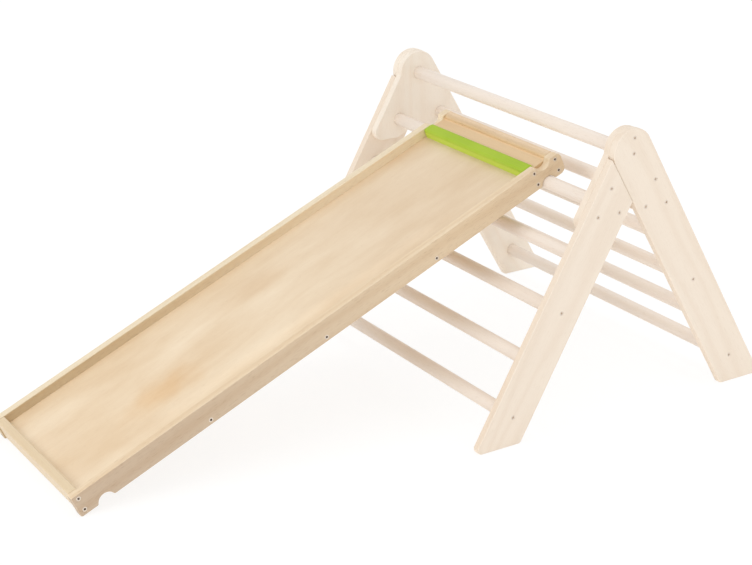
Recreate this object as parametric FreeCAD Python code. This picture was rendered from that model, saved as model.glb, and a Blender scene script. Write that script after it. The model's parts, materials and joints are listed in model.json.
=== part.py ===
import FreeCAD, Part
import math
import os

Vector = FreeCAD.Vector

# Ladder: an A-frame whose two sides are joined by round rungs
apex_height = 578.0            # where the legs' centre lines meet, above the floor
leg_lean_degrees = 30.0        # each leg's lean from the vertical
leg_width = 100.0
leg_thickness = 18.0
leg_seam = 1.0                 # open line between the mitred front leg and the rear leg
head_reach = 9.0               # centre of the rear leg's round end, up the leg from the apex
top_rung_reach = 5.0           # top rung's centre, likewise
leg_edge_radius = 3.0
toe_radius = 11.0              # rounded outer corner of each foot
heel_radius = 9.0              # rounded inner corner of each foot
inner_width = 800.0            # between the inner faces of the two sides
rung_diameter = 30.0
low_rung_height = 64.9         # lowest rungs' centres above the floor
rungs_per_leg = 5
rung_socket_depth = 10.0       # blind hole that holds each rung end
socket_clearance = 0.1

# Gusset plate behind the two legs of one side
gusset_thickness = 18.0
gusset_inset = 1.0             # the plate stands back from the legs' outer edges
gusset_arm_reach = 44.4        # lower ends of the arms, below the fifth rungs' centres
gusset_crotch_reach = 13.4     # top of the notch between the arms, likewise
gusset_crotch_half_width = 62.0
gusset_tip_radius = 20.0
gusset_heel_radius = 18.0
gusset_crotch_radius = 20.0
gusset_neck_radius = 8.0       # where the domed head meets the front arm's edge
gusset_edge_radius = 2.0

# Slide: a shallow tray that hooks over the uppermost front rung
slide_width = 425.0
rail_length = 1258.0
rail_height = 50.0
rail_thickness = 20.0
rail_edge_radius = 2.5
hook_setback = 49.0            # rail's upper end to the middle of the hook notch
notch_radius = 19.0
notch_offset = 4.0             # a notch's centre lies this far outside the rail's edge
notch_lip_radius = 4.0
hook_seat_gap = 0.3            # between the rung and the top of the hook notch
knob_radius = 14.0             # rounded upper end of each rail
low_notch_setback = 59.5       # rail's lower end to the middle of the low notch
low_heel_radius = 5.0          # corner that stands on the floor
low_corner_radius = 3.0        # upper corner of the low end
floor_recess = 21.0            # floor panel's top below the rails' top edges
floor_thickness = 9.0
floor_groove_depth = 6.0
bar_thickness = 20.0           # the low and top cross boards between the rails
bar_lift = 2.0                 # the three cross boards' lower edges above the rails' lower edges
bar_edge_radius = 4.0
top_bar_nose_radius = 9.0      # top bar's upper edge on the side of the floor
green_bar_thickness = 28.5
green_bar_edge_radius = 6.5
low_bar_setback = 3.5          # rail's lower end to the low bar
top_bar_setback = 7.0          # rail's upper end to the top bar
head_recess = 9.0              # head panel's top below the rails' top edges
bar_cove_gap = 2.0             # between the hook rung and the cove in the green bar
green_bar_reach = 12.5         # hook notch's middle to the green bar's upper face
batten_width = 30.0
batten_edge_radius = 4.0
batten_count = 3
low_batten_setback = 315.0     # rail's lower end to the lowest batten
high_batten_setback = 359.0    # rail's upper end to the highest batten

# Countersunk screws
screw_head_diameter = 10.0
screw_head_depth = 3.2
screw_shank_diameter = 4.5
screw_tip_length = 4.0
screw_clearance = 0.1
screw_sink = 0.3               # head below the wood's face
recess_length = 5.4            # cross recess in the head
recess_width = 2.4
recess_depth = 1.8
gusset_screw_length = 32.0
rung_screw_length = 60.0
slide_screw_length = 50.0
gusset_screw_rise = 37.0       # upper screw of three, up the leg from the fifth rung
gusset_screw_fall = 28.0       # lower screw of three, down the leg from the fifth rung
gusset_screw_outer = 20.0      # these two, out from the leg's centre line
gusset_screw_inner = 28.0      # third screw, in from the leg's centre line
head_screw_rise = 33.5         # plate screw above the top rung
screwed_rungs = (1, 3)         # rungs of each leg, counted from the floor, that have an end screw
bar_screw_inset = 10.0         # from a bar's upper and lower edges

overrun = 5.0                  # cuts run this far past the faces they cut
edge_match = 0.1               # an edge this close to its expected place is the one meant

# Worked-out places
lean = math.radians(leg_lean_degrees)
leg_half = leg_width / 2
rung_radius = rung_diameter / 2
side_inner = inner_width / 2
side_outer = side_inner + leg_thickness
plate_inner = side_inner - gusset_thickness
rung_pitch = (apex_height - low_rung_height) / (rungs_per_leg * math.cos(lean))
gusset_arm_drop = rung_pitch * math.cos(lean) + gusset_arm_reach
gusset_crotch_drop = rung_pitch * math.cos(lean) + gusset_crotch_reach
hook_x = -rung_pitch * math.sin(lean)
hook_z = apex_height - rung_pitch * math.cos(lean)
rail_bottom = notch_offset - (notch_radius - rung_radius - hook_seat_gap)
rail_top = rail_bottom + rail_height
rail_low_end = hook_setback - rail_length
rail_inner = slide_width / 2 - rail_thickness
floor_top = rail_top - floor_recess
floor_bottom = floor_top - floor_thickness
heel_reach = -rail_low_end - low_heel_radius
heel_rise = rail_bottom + low_heel_radius
slide_tilt = (math.asin((hook_z - low_heel_radius) / math.hypot(heel_reach, heel_rise))
              + math.atan2(heel_rise, heel_reach))
batten_pitch = (rail_length - low_batten_setback - high_batten_setback) / (batten_count - 1)
low_bar_x = rail_low_end + low_bar_setback
green_bar_x = -green_bar_reach - green_bar_thickness
top_bar_x = hook_setback - top_bar_setback - bar_thickness

# The origin is on the floor, at the middle of the whole object's box
foot_half = apex_height * math.tan(lean) + leg_half / math.cos(lean)
toe_corner_angle = math.pi / 2 - lean
toe_end = foot_half - toe_radius / math.tan(toe_corner_angle / 2) + toe_radius
slide_end = (hook_x + (rail_low_end + low_corner_radius) * math.cos(slide_tilt)
             - (rail_top - low_corner_radius) * math.sin(slide_tilt) - low_corner_radius)
ladder_x = -(toe_end + slide_end) / 2


def leg_point(side, along, out):
    """X and Z of a place on a leg: down it from the apex, and out from its centre line."""
    x = side * (along * math.sin(lean) + out * math.cos(lean))
    return x, apex_height - along * math.cos(lean) + out * math.sin(lean)


def foot_point(side, out):
    """X and Z where the line at this distance from the leg's centre line meets the floor."""
    along = (apex_height + out * math.sin(lean)) / math.cos(lean)
    return leg_point(side, along, out)


def rounded_outline(corners, y):
    """Closed face at this Y through corners of X, Z and a rounding radius."""
    edges = []
    tangents = []
    for index, (x, z, radius) in enumerate(corners):
        here = Vector(x, y, z)
        before = Vector(corners[index - 1][0], y, corners[index - 1][1])
        after_corner = corners[(index + 1) % len(corners)]
        after = Vector(after_corner[0], y, after_corner[1])
        back = (before - here).normalize()
        ahead = (after - here).normalize()
        if radius == 0:
            tangents.append((here, None, here))
            continue
        half_angle = back.getAngle(ahead) / 2
        reach = radius / math.tan(half_angle)
        middle = (back + ahead).normalize()
        top = here + middle * (radius / math.sin(half_angle) - radius)
        tangents.append((here + back * reach, top, here + ahead * reach))
    for index, (start, top, end) in enumerate(tangents):
        if top is not None:
            edges.append(Part.Arc(start, top, end).toShape())
        following = tangents[(index + 1) % len(tangents)][0]
        edges.append(Part.LineSegment(end, following).toShape())
    return Part.Face(Part.Wire(edges))


def board(corners, y_low, thickness):
    """Board cut to an outline in X and Z."""
    return rounded_outline(corners, y_low).extrude(Vector(0, thickness, 0))


def rim_edges(shape, y_levels, keep_sharp=None):
    """Edges that lie in flat faces at these Y levels; keep_sharp tells which of them to leave."""
    found = []
    for edge in shape.Edges:
        box = edge.BoundBox
        for level in y_levels:
            flat = abs(box.YMin - level) < edge_match and abs(box.YMax - level) < edge_match
            if flat and not (keep_sharp and keep_sharp(edge)):
                found.append(edge)
    return found


def cross_edges(shape, places):
    """Edges that run along Y at these places."""
    found = []
    for edge in shape.Edges:
        at = edge.CenterOfMass
        along_y = edge.BoundBox.YLength > max(edge.BoundBox.XLength, edge.BoundBox.ZLength)
        if along_y and any(math.hypot(at.x - x, at.z - z) < edge_match for x, z in places):
            found.append(edge)
    return found


def cylinder_y(radius, x, z, y_low, y_high):
    """Cylinder along Y."""
    return Part.makeCylinder(radius, y_high - y_low, Vector(x, y_low, z), Vector(0, 1, 0))


def screw(x, z, face_y, inward, length):
    """Countersunk screw driven along Y from a face, with a cross recess in its head."""
    way = Vector(0, inward, 0)
    head_y = face_y + inward * screw_sink
    shank_y = head_y + inward * screw_head_depth
    tip_y = head_y + inward * (length - screw_tip_length)
    head_radius = screw_head_diameter / 2
    shank_radius = screw_shank_diameter / 2
    head = Part.makeCone(head_radius, shank_radius, screw_head_depth, Vector(x, head_y, z), way)
    shank = Part.makeCylinder(shank_radius, abs(tip_y - shank_y), Vector(x, shank_y, z), way)
    tip = Part.makeCone(shank_radius, 0, screw_tip_length, Vector(x, tip_y, z), way)
    slot_y = head_y + min(inward, 0) * recess_depth
    across = Part.makeBox(recess_length, recess_depth, recess_width,
                          Vector(x - recess_length / 2, slot_y, z - recess_width / 2))
    upright = Part.makeBox(recess_width, recess_depth, recess_length,
                           Vector(x - recess_width / 2, slot_y, z - recess_length / 2))
    return head.fuse([shank, tip]).cut([across, upright]).removeSplitter()


def screw_hole(x, z, face_y, inward, length):
    """Countersunk hole that the screw fits with clearance."""
    way = Vector(0, inward, 0)
    head_y = face_y + inward * screw_sink
    head_radius = screw_head_diameter / 2 + screw_clearance
    shank_radius = screw_shank_diameter / 2 + screw_clearance
    mouth_y = face_y - inward * overrun
    mouth = Part.makeCylinder(head_radius, abs(head_y - mouth_y), Vector(x, mouth_y, z), way)
    cone = Part.makeCone(head_radius, shank_radius, screw_head_depth, Vector(x, head_y, z), way)
    shaft = Part.makeCylinder(shank_radius, length + screw_clearance, Vector(x, head_y, z), way)
    return mouth.fuse([cone, shaft])


def rung_place(leg, number):
    """X and Z of a rung: leg -1 is the front, 1 the rear; rungs count up from the floor."""
    return leg_point(leg, (rungs_per_leg + 1 - number) * rung_pitch, 0)


top_rung_place = leg_point(1, -top_rung_reach, 0)
head_place = leg_point(1, -head_reach, 0)


def plate_screw_places():
    """The gusset's screws: one over the top rung and three round each leg's uppermost rung."""
    places = [(top_rung_place[0], top_rung_place[1] + head_screw_rise)]
    for leg in (-1, 1):
        places.append(leg_point(leg, rung_pitch - gusset_screw_rise, gusset_screw_outer))
        places.append(leg_point(leg, rung_pitch + gusset_screw_fall, gusset_screw_outer))
        places.append(leg_point(leg, rung_pitch, -gusset_screw_inner))
    return places


def rung_screw_places():
    """The rungs whose ends are screwed."""
    places = [top_rung_place]
    for leg in (-1, 1):
        places += [rung_place(leg, number) for number in screwed_rungs]
    return places


plate_rungs = [top_rung_place, rung_place(-1, rungs_per_leg), rung_place(1, rungs_per_leg)]
leg_rungs = [rung_place(leg, number) for leg in (-1, 1) for number in range(1, rungs_per_leg)]


def plate_screws(side, make):
    """The gusset screws of one side, or their holes, from its outer face."""
    return [make(x, z, side * side_outer, -side, gusset_screw_length) for x, z in plate_screw_places()]


def rung_screws(side, make, places):
    """The rung screws of one side, or their holes, from its outer face."""
    return [make(x, z, side * side_outer, -side, rung_screw_length) for x, z in places]


def span(side, y_first, y_second):
    """Lower and upper Y of a stretch that is measured outwards on one side."""
    first, second = side * y_first, side * y_second
    return min(first, second), max(first, second)


def leg_sockets(side):
    """Blind holes for the rungs that end in the legs."""
    low, high = span(side, side_inner - overrun, side_inner + rung_socket_depth)
    return [cylinder_y(rung_radius + socket_clearance, x, z, low, high) for x, z in leg_rungs]


def plate_sockets(side):
    """Blind holes for the three uppermost rungs, which end in the gusset."""
    low, high = span(side, plate_inner - overrun, plate_inner + rung_socket_depth)
    return [cylinder_y(rung_radius + socket_clearance, x, z, low, high) for x, z in plate_rungs]


def drilled(shape, side, sockets):
    """A board of the ladder's side with its rung sockets and screw holes."""
    return shape.cut(sockets + plate_screws(side, screw_hole)
                     + rung_screws(side, screw_hole, rung_screw_places()))


def rear_leg(side):
    """Straight board whose upper end is a half-circle round the ladder's head."""
    low, high = span(side, side_inner, side_outer)
    corners = [foot_point(1, leg_half) + (toe_radius,), foot_point(1, -leg_half) + (heel_radius,),
               leg_point(1, -head_reach, -leg_half) + (0,), leg_point(1, -head_reach, leg_half) + (0,)]
    head = cylinder_y(leg_half, head_place[0], head_place[1], low, high)
    blank = board(corners, low, leg_thickness).fuse(head).removeSplitter()
    rounded = blank.makeFillet(leg_edge_radius, rim_edges(blank, (low, high)))
    return drilled(rounded, side, leg_sockets(side))


def front_leg(side):
    """Straight board whose top is cut to lie along the rear leg's edge."""
    low, high = span(side, side_inner, side_outer)
    edge_line = leg_half + leg_seam
    tip = (-(leg_half + edge_line) / (math.cos(lean) + math.cos(lean)),
           apex_height + (leg_half - edge_line) / (math.sin(lean) + math.sin(lean)))
    crotch = ((leg_half - edge_line) / (math.cos(lean) + math.cos(lean)),
              apex_height - (leg_half + edge_line) / (math.sin(lean) + math.sin(lean)))
    corners = [foot_point(-1, leg_half) + (toe_radius,), tip + (0,), crotch + (0,),
               foot_point(-1, -leg_half) + (heel_radius,)]
    blank = board(corners, low, leg_thickness)

    def on_seam(edge):
        """The mitred cut, which stays sharp against the rear leg."""
        outs = [v.X * math.cos(lean) + (v.Z - apex_height) * math.sin(lean) for v in edge.Vertexes]
        return all(abs(out + edge_line) < edge_match for out in outs)

    rounded = blank.makeFillet(leg_edge_radius, rim_edges(blank, (low, high), on_seam))
    return drilled(rounded, side, leg_sockets(side))


def gusset(side):
    """Plate with a domed head and two round-ended arms, screwed behind both legs."""
    low, high = span(side, plate_inner, side_inner)
    edge = leg_half - gusset_inset
    arm_z = apex_height - gusset_arm_drop
    arm_x = (edge + gusset_arm_drop * math.sin(lean)) / math.cos(lean)
    head_out = head_reach * math.sin(lean + lean)
    shoulder_along = -head_reach * math.cos(lean + lean)
    neck = leg_point(-1, shoulder_along + math.sqrt(edge ** 2 - (edge - head_out) ** 2), edge)
    corners = [(-arm_x, arm_z, gusset_tip_radius), leg_point(-1, shoulder_along, edge) + (0,),
               leg_point(1, -head_reach, edge) + (0,), (arm_x, arm_z, gusset_tip_radius),
               (gusset_crotch_half_width, arm_z, gusset_heel_radius),
               (0, apex_height - gusset_crotch_drop, gusset_crotch_radius),
               (-gusset_crotch_half_width, arm_z, gusset_heel_radius)]
    head = cylinder_y(edge, head_place[0], head_place[1], low, high)
    blank = board(corners, low, gusset_thickness).fuse(head).removeSplitter()
    necked = blank.makeFillet(gusset_neck_radius, cross_edges(blank, [neck]))
    rounded = necked.makeFillet(gusset_edge_radius, rim_edges(necked, (low, high)))
    return drilled(rounded, side, plate_sockets(side))


def rung(place, end_y):
    """Round rung between two sockets, with pilot holes where its ends are screwed."""
    bar = cylinder_y(rung_radius, place[0], place[1], -end_y, end_y)
    if place not in rung_screw_places():
        return bar
    return bar.cut(rung_screws(-1, screw_hole, [place]) + rung_screws(1, screw_hole, [place]))


def tilted(shape):
    """Slide pieces are drawn flat, with X up the slide from the hook rung and Z off its floor."""
    turned = shape.copy()
    turned.rotate(Vector(0, 0, 0), Vector(0, 1, 0), -math.degrees(slide_tilt))
    turned.translate(Vector(hook_x, 0, hook_z))
    return turned


def batten_places():
    """Middle of each batten, from the lowest upwards."""
    return [rail_low_end + low_batten_setback + batten_pitch * number for number in range(batten_count)]


def bar_screw_places():
    """X and Z of the screws through each rail into the bars, two in each."""
    low = rail_bottom + bar_lift + bar_screw_inset
    high = rail_top - bar_screw_inset
    middles = (low_bar_x + bar_thickness / 2, green_bar_x + green_bar_thickness / 2,
               top_bar_x + bar_thickness / 2)
    return [(x, z) for x in middles for z in (low, high)]


def batten_screw_places():
    """X and Z of the screws through each rail into the battens, one in each."""
    return [(x, (rail_bottom + floor_bottom) / 2) for x in batten_places()]


def rail_screws(side, make, places):
    """Screws through one rail, or their holes, from its outer face."""
    return [make(x, z, side * slide_width / 2, -side, slide_screw_length) for x, z in places]


def slide_holes():
    """Every screw hole of the slide, from both rails."""
    places = bar_screw_places() + batten_screw_places()
    return rail_screws(-1, screw_hole, places) + rail_screws(1, screw_hole, places)


def floor_block():
    """Floor panel with its tongue in the grooves of the rails, the green bar and the low bar."""
    x_low = low_bar_x + bar_thickness - floor_groove_depth
    x_high = green_bar_x + floor_groove_depth
    half = rail_inner + floor_groove_depth
    return Part.makeBox(x_high - x_low, half + half, floor_thickness, Vector(x_low, -half, floor_bottom))


def head_block():
    """Short panel over the hook rung, in grooves of the green bar and the top bar."""
    x_low = green_bar_x + green_bar_thickness - floor_groove_depth
    x_high = top_bar_x + floor_groove_depth
    return Part.makeBox(x_high - x_low, rail_inner + rail_inner, floor_thickness,
                        Vector(x_low, -rail_inner, rail_top - head_recess - floor_thickness))


def rail(side):
    """Side rail with a hook notch, a scoop over it, a rounded end and a low notch."""
    low, high = span(side, rail_inner, slide_width / 2)
    corners = [(rail_low_end, rail_bottom, low_heel_radius), (rail_low_end, rail_top, low_corner_radius),
               (hook_setback, rail_top, knob_radius), (hook_setback, rail_bottom, knob_radius)]
    blank = board(corners, low, rail_thickness)
    low_notch_x = rail_low_end + low_notch_setback
    notches = [(0, rail_bottom - notch_offset), (0, rail_top + notch_offset),
               (low_notch_x, rail_bottom - notch_offset)]
    cut = blank.cut([cylinder_y(notch_radius, x, z, low - overrun, high + overrun) for x, z in notches])
    mouth_half = math.sqrt(notch_radius ** 2 - notch_offset ** 2)
    lips = []
    for x, z in notches:
        lip_z = rail_bottom if z < rail_bottom else rail_top
        lips += [(x - mouth_half, lip_z), (x + mouth_half, lip_z)]
    lipped = cut.makeFillet(notch_lip_radius, cross_edges(cut, lips))
    rounded = lipped.makeFillet(rail_edge_radius, rim_edges(lipped, (low, high)))
    return rounded.cut([floor_block()] + slide_holes())


def cove():
    """Hollow round the hook rung, in the green bar's lower back edge."""
    return cylinder_y(rung_radius + bar_cove_gap, 0, 0, -rail_inner - overrun, rail_inner + overrun)


def cross_bar(bar_x, thickness, edge_radius, nose_radius=None):
    """Board across the slide, between the rails, its edges rounded and its upper downhill one perhaps more."""
    height = rail_height - bar_lift
    blank = Part.makeBox(thickness, rail_inner + rail_inner, height,
                         Vector(bar_x, -rail_inner, rail_bottom + bar_lift))
    if nose_radius is None:
        rounded = blank.makeFillet(edge_radius, blank.Edges)
    else:
        middle = blank.BoundBox.Center
        uphill_x = bar_x + (nose_radius + thickness) / 2
        nose = [edge for edge in blank.Edges if edge.BoundBox.YLength > thickness
                and edge.BoundBox.Center.x < middle.x and edge.BoundBox.Center.z > middle.z]
        nosed = blank.makeFillet(nose_radius, nose)
        sharp = [edge for edge in nosed.Edges if edge.BoundBox.YLength < thickness
                 or edge.BoundBox.Center.z < middle.z or edge.BoundBox.Center.x > uphill_x]
        rounded = nosed.makeFillet(edge_radius, sharp)
    return rounded.cut([floor_block(), head_block(), cove()] + slide_holes())


def batten(middle_x):
    """Strip under the floor, with its two lower edges rounded."""
    blank = Part.makeBox(batten_width, rail_inner + rail_inner, floor_bottom - rail_bottom,
                         Vector(middle_x - batten_width / 2, -rail_inner, rail_bottom))
    lower = [edge for edge in blank.Edges
             if edge.BoundBox.ZMax < floor_bottom and edge.BoundBox.YLength > rail_inner]
    return blank.makeFillet(batten_edge_radius, lower).cut(slide_holes())


def save(node, shape):
    """Writes one node, set over the origin."""
    placed = shape.copy()
    placed.translate(Vector(ladder_x, 0, 0))
    placed.exportStep(os.path.join("parts", node + ".step"))


def build():
    """Makes every node of the ladder, then of the slide."""
    os.makedirs("parts", exist_ok=True)
    for name, side in (("near", -1), ("far", 1)):
        save(name + "_rear_leg", rear_leg(side))
        save(name + "_front_leg", front_leg(side))
        save(name + "_gusset", gusset(side))
        save(name + "_gusset_screws", Part.makeCompound(plate_screws(side, screw)))
        save(name + "_rung_screws", Part.makeCompound(rung_screws(side, screw, rung_screw_places())))

    plate_end = plate_inner + rung_socket_depth
    leg_end = side_inner + rung_socket_depth
    save("top_rung", rung(top_rung_place, plate_end))
    for name, leg in (("front", -1), ("rear", 1)):
        for number in range(1, rungs_per_leg + 1):
            end = plate_end if number == rungs_per_leg else leg_end
            save("%s_rung_%d" % (name, number), rung(rung_place(leg, number), end))

    for name, side in (("near", -1), ("far", 1)):
        save(name + "_rail", tilted(rail(side)))
        bars = rail_screws(side, screw, bar_screw_places())
        battens = rail_screws(side, screw, batten_screw_places())
        save(name + "_bar_screws", tilted(Part.makeCompound(bars)))
        save(name + "_batten_screws", tilted(Part.makeCompound(battens)))
    save("slide_floor", tilted(floor_block()))
    save("head_panel", tilted(head_block()))
    save("low_bar", tilted(cross_bar(low_bar_x, bar_thickness, bar_edge_radius)))
    save("green_bar", tilted(cross_bar(green_bar_x, green_bar_thickness, green_bar_edge_radius)))
    save("top_bar", tilted(cross_bar(top_bar_x, bar_thickness, bar_edge_radius, top_bar_nose_radius)))
    for number, middle in enumerate(batten_places(), start=1):
        save("under_batten_%d" % number, tilted(batten(middle)))

    print("slide tilt", round(math.degrees(slide_tilt), 3), "degrees")
    print("hook rung at x", round(ladder_x + hook_x, 3), "z", round(hook_z, 3))
    print("apex at x", round(ladder_x, 3), "ladder and slide ends", round(ladder_x + toe_end, 3),
          round(ladder_x + slide_end, 3))


build()
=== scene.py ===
# %% [markdown]
# # A child's climbing ladder with a slide
# The object is an A-frame ladder of pale plywood sides and round rungs, with a shallow wooden slide that
# hooks over its uppermost front rung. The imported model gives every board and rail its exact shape, so
# those shapes are not drawn again here. This lesson dresses them: it sets the camera and the light, makes
# the wood, paint and steel from nodes, and builds what repeats, the rungs and the screws, with Geometry
# Nodes.

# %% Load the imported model
import json
import math

import bpy
from mathutils import Matrix, Vector


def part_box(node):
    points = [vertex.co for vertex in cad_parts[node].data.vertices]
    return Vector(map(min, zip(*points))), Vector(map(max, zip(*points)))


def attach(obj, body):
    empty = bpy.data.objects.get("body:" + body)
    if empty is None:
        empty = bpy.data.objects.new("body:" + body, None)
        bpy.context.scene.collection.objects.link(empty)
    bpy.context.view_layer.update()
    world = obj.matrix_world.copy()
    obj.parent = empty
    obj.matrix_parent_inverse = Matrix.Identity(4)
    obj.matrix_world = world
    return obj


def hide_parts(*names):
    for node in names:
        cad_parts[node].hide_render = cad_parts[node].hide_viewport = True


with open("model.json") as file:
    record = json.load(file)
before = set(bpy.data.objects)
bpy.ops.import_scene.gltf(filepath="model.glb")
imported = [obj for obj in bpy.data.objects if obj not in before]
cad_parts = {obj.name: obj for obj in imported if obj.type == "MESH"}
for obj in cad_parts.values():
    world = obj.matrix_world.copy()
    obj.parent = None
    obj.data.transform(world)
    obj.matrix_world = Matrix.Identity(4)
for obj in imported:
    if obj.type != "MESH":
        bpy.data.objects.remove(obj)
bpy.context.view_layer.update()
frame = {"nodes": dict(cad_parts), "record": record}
nodes = frame["nodes"]
scene = bpy.context.scene

# %% [markdown]
# ## Directions that the wood follows
# Grain runs along each board, and the boards lean: the legs at one angle either way, and the slide at a
# shallower one. The angles could be typed in, but the model already holds them. The rungs stand on the
# legs' centre lines, so two rungs give the lean, and the record's seat mount points straight off the
# slide's floor.


# %% Measure the leans
def middle(node):
    low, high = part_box(node)
    return (low + high) / 2


leg_line = middle("front_rung_5") - middle("front_rung_1")
leg_lean = math.atan2(leg_line.x, leg_line.z)
seat = next(m for m in frame["record"]["mounts"] if m["name"] == "slide_seat")
slide_tilt = math.atan2(-seat["axis"][0], seat["axis"][2])
print("legs lean", round(math.degrees(leg_lean), 2), "degrees")
print("slide tilts", round(math.degrees(slide_tilt), 2), "degrees")

# %% [markdown]
# ## The camera
# The photograph was taken from the front left, from well above the ladder's head, with a long lens. The
# camera's place and its three angles were fitted to the rungs, screws and board edges in the picture, so
# they are written as numbers. A tracking constraint would also aim a camera, but it can't give the slight
# roll of a hand-held shot.

# %% Set the camera
photo_width = 752
focal_pixels = 1771.99
sensor_width = 36.0
camera_place = Vector((-1.869269, -3.083613, 1.648005))
heading, nod, roll = 0.553514, -0.369566, -0.011692

looking = Vector((math.sin(heading) * math.cos(nod), math.cos(heading) * math.cos(nod), math.sin(nod)))
level = Vector((math.cos(heading), -math.sin(heading), 0))
rising = level.cross(looking)
right = level * math.cos(roll) + rising * math.sin(roll)
up = rising * math.cos(roll) - level * math.sin(roll)

camera_data = bpy.data.cameras.new("photo_camera")
camera_data.sensor_width = sensor_width
camera_data.lens = sensor_width * focal_pixels / photo_width
camera_data.dof.use_dof = False
camera = bpy.data.objects.new("photo_camera", camera_data)
aim = Matrix((right, up, -looking)).transposed().to_quaternion()
camera.matrix_world = Matrix.LocRotScale(camera_place, aim, None)
scene.collection.objects.link(camera)
scene.camera = camera
print("lens", round(camera_data.lens, 1), "mm")

# %% [markdown]
# ## Small helpers for node trees
# Every material, group and Geometry Nodes tree below is built from nodes and links. Wiring each by hand
# would work, but it would hide what the nodes are for. So one helper adds a node and fills in its
# settings and inputs, and short ones for sums, mixes, ramps and noise call it. Another turns a colour
# that was read off the photograph, in the usual 0 to 255 numbers, into the linear numbers of a shader,
# and the last two start a material and a node group.


# %% Helpers that add nodes
def add(tree, kind, inputs=None, **settings):
    """Adds a node; inputs maps a socket's name or number to a value, or to a socket to link."""
    node = tree.nodes.new(kind)
    for name, value in settings.items():
        setattr(node, name, value)
    for key, value in (inputs or {}).items():
        if isinstance(value, bpy.types.NodeSocket):
            tree.links.new(value, node.inputs[key])
        else:
            node.inputs[key].default_value = value
    return node


def sums(tree, operation, *values, clamp=False):
    inputs = dict(enumerate(values))
    return add(tree, "ShaderNodeMath", inputs, operation=operation, use_clamp=clamp).outputs[0]


def vectors(tree, operation, *values):
    return add(tree, "ShaderNodeVectorMath", dict(enumerate(values)), operation=operation).outputs[0]


def length_of(tree, vector):
    return add(tree, "ShaderNodeVectorMath", {0: vector}, operation="LENGTH").outputs["Value"]


def split(tree, vector):
    return add(tree, "ShaderNodeSeparateXYZ", {0: vector}).outputs


def mix(tree, share, first, second, how="MIX"):
    """Mixes two colours, which are sockets 6 and 7 of the Mix node."""
    inputs = {0: share, 6: first, 7: second}
    return add(tree, "ShaderNodeMix", inputs, data_type="RGBA", blend_type=how).outputs[2]


def ramp(tree, value, start, end):
    """0 where the value is at start, 1 where it is at end, and smooth between."""
    inputs = {"Value": value, "From Min": start, "From Max": end}
    return add(tree, "ShaderNodeMapRange", inputs, interpolation_type="SMOOTHSTEP").outputs[0]


def noise(tree, place, scale, detail, roughness=0.5):
    inputs = {"Vector": place, "Scale": scale, "Detail": detail, "Roughness": roughness}
    return add(tree, "ShaderNodeTexNoise", inputs).outputs[0]


print("helpers for nodes are ready")


# %% Helpers for colours, materials and groups
def colour(red, green, blue):
    """A picture's numbers as linear light, by the usual formula."""
    def linear(value):
        share = value / 255
        return share / 12.92 if share <= 0.04045 else ((share + 0.055) / 1.055) ** 2.4
    return (linear(red), linear(green), linear(blue), 1.0)


def blank_material(name):
    """A new material with nothing in its tree, and that tree."""
    material = bpy.data.materials.new(name)
    material.use_nodes = True
    material.node_tree.nodes.clear()
    return material, material.node_tree


def new_tree(name, kind, inputs, outputs):
    """A node group with named sockets; returns the tree, its input sockets and its output node."""
    tree = bpy.data.node_groups.new(name, kind)
    for label, socket_kind, default in inputs:
        socket = tree.interface.new_socket(label, in_out="INPUT", socket_type="NodeSocket" + socket_kind)
        if default is not None:
            socket.default_value = default
    for label, socket_kind in outputs:
        tree.interface.new_socket(label, in_out="OUTPUT", socket_type="NodeSocket" + socket_kind)
    return tree, tree.nodes.new("NodeGroupInput").outputs, tree.nodes.new("NodeGroupOutput")


print("a picture's mid grey, 128, is", round(colour(128, 128, 128)[0], 3), "in linear light")

# %% [markdown]
# ## Floor, backdrop and light
# The picture is a studio cut-out: white all round and lit from everywhere. One large pale plane is the
# floor. The world behind it is white to look at, but lights the object softly, and more from overhead. A
# lamp high up drops the slide's shadow onto the rungs, a larger one on the left lights the ends and sides
# that face it, and a weak one in front fills the shaded sides. More light would also whiten the floor,
# but it would bleach the wood. So the floor is lifted to white where it is looked at, gives off a little
# light like a lit table, and still mixes in its own shading, which keeps a faint shadow under the object.

# %% Floor
WHITE = (1.0, 1.0, 1.0, 1.0)
reach = 40.0
floor_sink = 0.0005
corners = [(-reach, -reach, 0), (reach, -reach, 0), (reach, reach, 0), (-reach, reach, 0)]
floor_mesh = bpy.data.meshes.new("studio_floor")
floor_mesh.from_pydata(corners, [], [(0, 1, 2, 3)])
floor = bpy.data.objects.new("studio_floor", floor_mesh)
floor.location.z = -floor_sink
scene.collection.objects.link(floor)
print("floor", 2 * reach, "metres wide")


# %% Floor paper
def seen_directly(tree):
    """1 for rays that show the backdrop, straight or in a shiny surface, and 0 for rays that light things."""
    path = add(tree, "ShaderNodeLightPath").outputs
    seen = sums(tree, "ADD", path["Is Camera Ray"], path["Is Glossy Ray"])
    return sums(tree, "ADD", seen, path["Is Transmission Ray"], clamp=True)


paper_grey = (0.88, 0.88, 0.88, 1.0)
table_light, white_level, white_share = 0.23, 1.03, 0.74
floor_paper, tree = blank_material("floor_paper")
paper = add(tree, "ShaderNodeBsdfDiffuse", {"Color": paper_grey})
shine = add(tree, "ShaderNodeEmission", {"Color": WHITE, "Strength": table_light})
lit = add(tree, "ShaderNodeAddShader", {0: paper.outputs[0], 1: shine.outputs[0]})
glow = add(tree, "ShaderNodeEmission", {"Color": WHITE, "Strength": white_level})
lift = sums(tree, "MULTIPLY", seen_directly(tree), white_share)
mixed = add(tree, "ShaderNodeMixShader", {0: lift, 1: lit.outputs[0], 2: glow.outputs[0]})
add(tree, "ShaderNodeOutputMaterial", {"Surface": mixed.outputs[0]})
floor_mesh.materials.append(floor_paper)
print(floor_paper.name, "is lifted to white by", white_share)

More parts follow.
